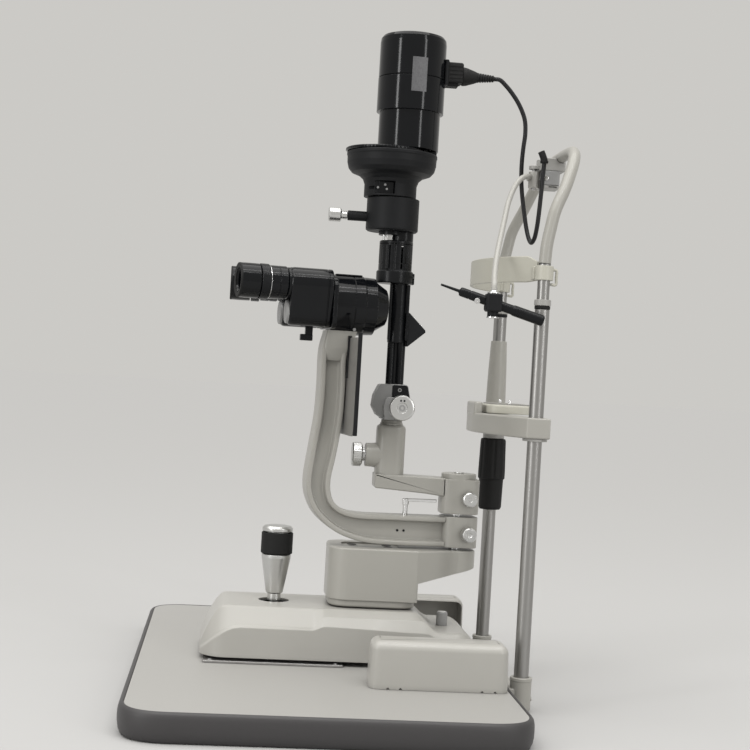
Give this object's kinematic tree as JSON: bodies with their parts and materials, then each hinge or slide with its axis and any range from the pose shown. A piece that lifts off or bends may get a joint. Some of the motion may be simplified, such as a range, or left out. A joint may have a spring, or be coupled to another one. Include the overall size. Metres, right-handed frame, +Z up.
{
  "type": "slit lamp",
  "caption": "Table-mounted slit lamp: joystick base on geared rails, swinging microscope and illumination arms, lamp tower, and a head rest with chin and forehead supports.",
  "frame": {"origin": "centre of the table top's flat underside", "axes": "+Z up, +X from the examiner's side towards the patient, +Y across the instrument"},
  "size_m": [0.435, 0.604, 0.7026],
  "materials": {
    "laminate": "light warm-grey laminate with a fine satin texture",
    "edge_grey": "dark grey soft moulded edge band",
    "white_paint": "warm white-grey enamel, satin gloss",
    "cream": "cream white moulded plastic",
    "grey_plastic": "mid-grey painted cast part",
    "silver": "satin turned aluminium",
    "steel": "machined steel",
    "black_gloss": "gloss black enamel",
    "black_matt": "satin black coating",
    "rubber": "black rubber",
    "shield": "smoke-grey breath shield plastic",
    "glass": "coated optical glass",
    "mirror": "front-silvered glass in a black holder"
  },
  "bodies": {
    "stand": {"table_top": "laminate", "table_edge_band": "edge_grey", "friction_plate": "steel", "rack_near": "steel", "rack_far": "steel", "rail_cover_near": "white_paint", "rail_cover_far": "white_paint", "headrest_bracket": "grey_plastic", "post_near": "silver", "post_far": "silver", "head_frame": "white_paint", "top_bracket": "grey_plastic", "forehead_band": "cream", "cable_gland": "rubber", "lamp_cable": "rubber"},
    "chin_rest": {"chin_bar": "white_paint", "chin_cup": "cream", "chin_sleeve": "white_paint"},
    "chin_knob": {"chin_knob": "black_matt"},
    "fixation_arm": {"fixation_arm": "white_paint", "fixation_clamp": "black_matt"},
    "fixation_lamp": {"fixation_lamp": "black_matt"},
    "cross_slide": {"shaft_sleeve": "silver"},
    "cross_shaft": {"cross_shaft": "steel"},
    "base": {"base_cover": "white_paint", "base_chassis": "steel"},
    "base_lock": {"base_lock_knob": "black_matt"},
    "joystick_gimbal": {"joystick_gimbal": "steel"},
    "joystick_stem": {"joystick_stem": "steel"},
    "joystick_handle": {"joystick_handle": "silver", "joystick_grip": "rubber"},
    "carrier": {"carrier": "white_paint", "pivot_shaft": "steel"},
    "microscope": {"microscope_arm": "white_paint", "breath_shield": "shield", "microscope_body": "black_gloss", "objective_lens": "glass"},
    "microscope_lock": {"microscope_lock_knob": "silver"},
    "magnification_lever": {"magnification_lever": "black_matt"},
    "prism_near": {"prism_housing_near": "black_gloss", "eyepiece_near": "black_gloss"},
    "dioptre_near": {"dioptre_ring_near": "black_matt"},
    "prism_far": {"prism_housing_far": "black_gloss", "eyepiece_far": "black_gloss"},
    "dioptre_far": {"dioptre_ring_far": "black_matt"},
    "illumination": {"illumination_arm": "white_paint"},
    "illumination_lock": {"illumination_lock_knob": "silver"},
    "centring": {"centring_knob": "silver"},
    "tower_base": {"tower_fork": "grey_plastic"},
    "tower": {"tower_column": "black_matt", "mirror": "mirror", "slit_housing": "black_matt", "lamp_house": "black_gloss", "lamp_cap": "black_gloss", "lamp_bulb": "glass", "lamp_plug": "rubber"},
    "slit_knobs": {"slit_width_knobs": "silver"},
    "slit_sleeve": {"slit_rotation_sleeve": "black_matt"},
    "lever_knob": {"lever_knob": "silver"},
    "filter_dial": {"filter_dial": "black_gloss"}
  },
  "joints": [
    {"name": "base_longitudinal", "type": "slide", "parent": "stand", "child": "cross_slide", "axis": [-1, 0, 0], "range_m": [-0.025, 0.048], "deforming": ["lamp_cable"]},
    {"name": "shaft_roll", "type": "hinge", "parent": "cross_slide", "child": "cross_shaft", "pos_m": [0.111, 0, 0.046], "axis": [0, 1, 0], "range_deg": [-210, 112]},
    {"name": "base_lateral", "type": "slide", "parent": "cross_slide", "child": "base", "axis": [0, -1, 0], "range_m": [-0.048, 0.048]},
    {"name": "base_lock_turn", "type": "hinge", "parent": "base", "child": "base_lock", "pos_m": [0.136, -0.008, 0.073], "axis": [0, 0, 1], "range_deg": [0, 90]},
    {"name": "joystick_fore_aft", "type": "hinge", "parent": "base", "child": "joystick_gimbal", "pos_m": [-0.0466, 0, 0.05], "axis": [0, 1, 0], "range_deg": [-8, 8]},
    {"name": "joystick_side", "type": "hinge", "parent": "joystick_gimbal", "child": "joystick_stem", "pos_m": [-0.0466, 0, 0.05], "axis": [1, 0, 0], "range_deg": [-8, 8]},
    {"name": "elevation", "type": "slide", "parent": "base", "child": "carrier", "axis": [0, 0, 1], "range_m": [0, 0.03]},
    {"name": "joystick_turn", "type": "hinge", "parent": "joystick_stem", "child": "joystick_handle", "pos_m": [-0.0466, 0, 0.128], "axis": [0, 0, 1], "range_deg": [0, 1090]},
    {"name": "microscope_swing", "type": "hinge", "parent": "carrier", "child": "microscope", "pos_m": [0.147, 0, 0.168], "axis": [0, 0, -1], "range_deg": [-45, 66]},
    {"name": "microscope_lock_turn", "type": "hinge", "parent": "microscope", "child": "microscope_lock", "pos_m": [0.15708, -0.02705, 0.1674], "axis": [-0.1115, 0.9938, 0], "range_deg": [0, 90]},
    {"name": "magnification_turn", "type": "hinge", "parent": "microscope", "child": "magnification_lever", "pos_m": [-0.02492, -0.01928, 0.384], "axis": [0.9938, 0.1115, 0], "range_deg": [-25, 25]},
    {"name": "pd_adjust_near", "type": "hinge", "parent": "microscope", "child": "prism_near", "pos_m": [-0.02722, -0.04369, 0.3945], "axis": [0.9938, 0.1115, 0], "range_deg": [-10, 10]},
    {"name": "pd_adjust_far", "type": "hinge", "parent": "microscope", "child": "prism_far", "pos_m": [-0.03257, 0.00401, 0.3945], "axis": [0.9938, 0.1115, 0], "range_deg": [-10, 10]},
    {"name": "dioptre_turn_near", "type": "hinge", "parent": "prism_near", "child": "dioptre_near", "pos_m": [-0.07853, -0.05601, 0.4236], "axis": [0.9767, 0.2147, 0], "range_deg": [-150, 150]},
    {"name": "dioptre_turn_far", "type": "hinge", "parent": "prism_far", "child": "dioptre_far", "pos_m": [-0.08533, 0.00465, 0.4236], "axis": [1, 0.007, 0], "range_deg": [-150, 150]},
    {"name": "illumination_swing", "type": "hinge", "parent": "carrier", "child": "illumination", "pos_m": [0.147, 0, 0.208], "axis": [0, 0, -1], "range_deg": [-60, 60]},
    {"name": "illumination_lock_turn", "type": "hinge", "parent": "illumination", "child": "illumination_lock", "pos_m": [0.156, -0.028, 0.2053], "axis": [0, 1, 0], "range_deg": [0, 90]},
    {"name": "centring_turn", "type": "hinge", "parent": "illumination", "child": "centring", "pos_m": [0.037, 0, 0.2465], "axis": [1, 0, 0], "range_deg": [0, 180]},
    {"name": "illumination_decentring", "type": "hinge", "parent": "illumination", "child": "tower_base", "pos_m": [0.07, 0, 0.284], "axis": [0, 0, 1], "range_deg": [-10, 10]},
    {"name": "illumination_tilt", "type": "hinge", "parent": "tower_base", "child": "tower", "pos_m": [0.075, 0, 0.3], "axis": [0, 1, 0], "range_deg": [0, 15]},
    {"name": "slit_width_turn", "type": "hinge", "parent": "tower", "child": "slit_knobs", "pos_m": [0.075, 0, 0.3], "axis": [0, 1, 0], "range_deg": [0, 300]},
    {"name": "slit_rotation", "type": "hinge", "parent": "tower", "child": "slit_sleeve", "pos_m": [0.058, 0, 0.507], "axis": [0, 0, 1], "range_deg": [-90, 90]},
    {"name": "lever_knob_turn", "type": "hinge", "parent": "slit_sleeve", "child": "lever_knob", "pos_m": [-0.003, 0, 0.504], "axis": [1, 0, 0], "range_deg": [-150, 150]},
    {"name": "filter_select", "type": "hinge", "parent": "tower", "child": "filter_dial", "pos_m": [0.047, 0, 0.575], "axis": [0, 0, 1], "range_deg": [-144, 144]},
    {"name": "chin_height", "type": "slide", "parent": "stand", "child": "chin_rest", "axis": [0, 0, 1], "range_m": [-0.045, 0.027]},
    {"name": "chin_knob_turn", "type": "hinge", "parent": "chin_rest", "child": "chin_knob", "pos_m": [0.204, 0.12, 0.228], "axis": [0, 0, 1], "range_deg": [-2040, 1225]},
    {"name": "fixation_swing", "type": "hinge", "parent": "stand", "child": "fixation_arm", "pos_m": [0.211, 0, 0.556], "axis": [0, 0, -1], "range_deg": [-12, 30]},
    {"name": "fixation_lamp_slide", "type": "slide", "parent": "fixation_arm", "child": "fixation_lamp", "axis": [0.9613, 0, -0.2756], "range_m": [-0.009, 0.012]}
  ],
  "couplings": [
    {"joint": "shaft_roll", "follows": "base_longitudinal", "rad_per_m": -73.529},
    {"joint": "joystick_turn", "follows": "elevation", "rad_per_m": 628.3},
    {"joint": "pd_adjust_far", "follows": "pd_adjust_near", "ratio": -1},
    {"joint": "chin_knob_turn", "follows": "chin_height", "rad_per_m": 785.4}
  ]
}
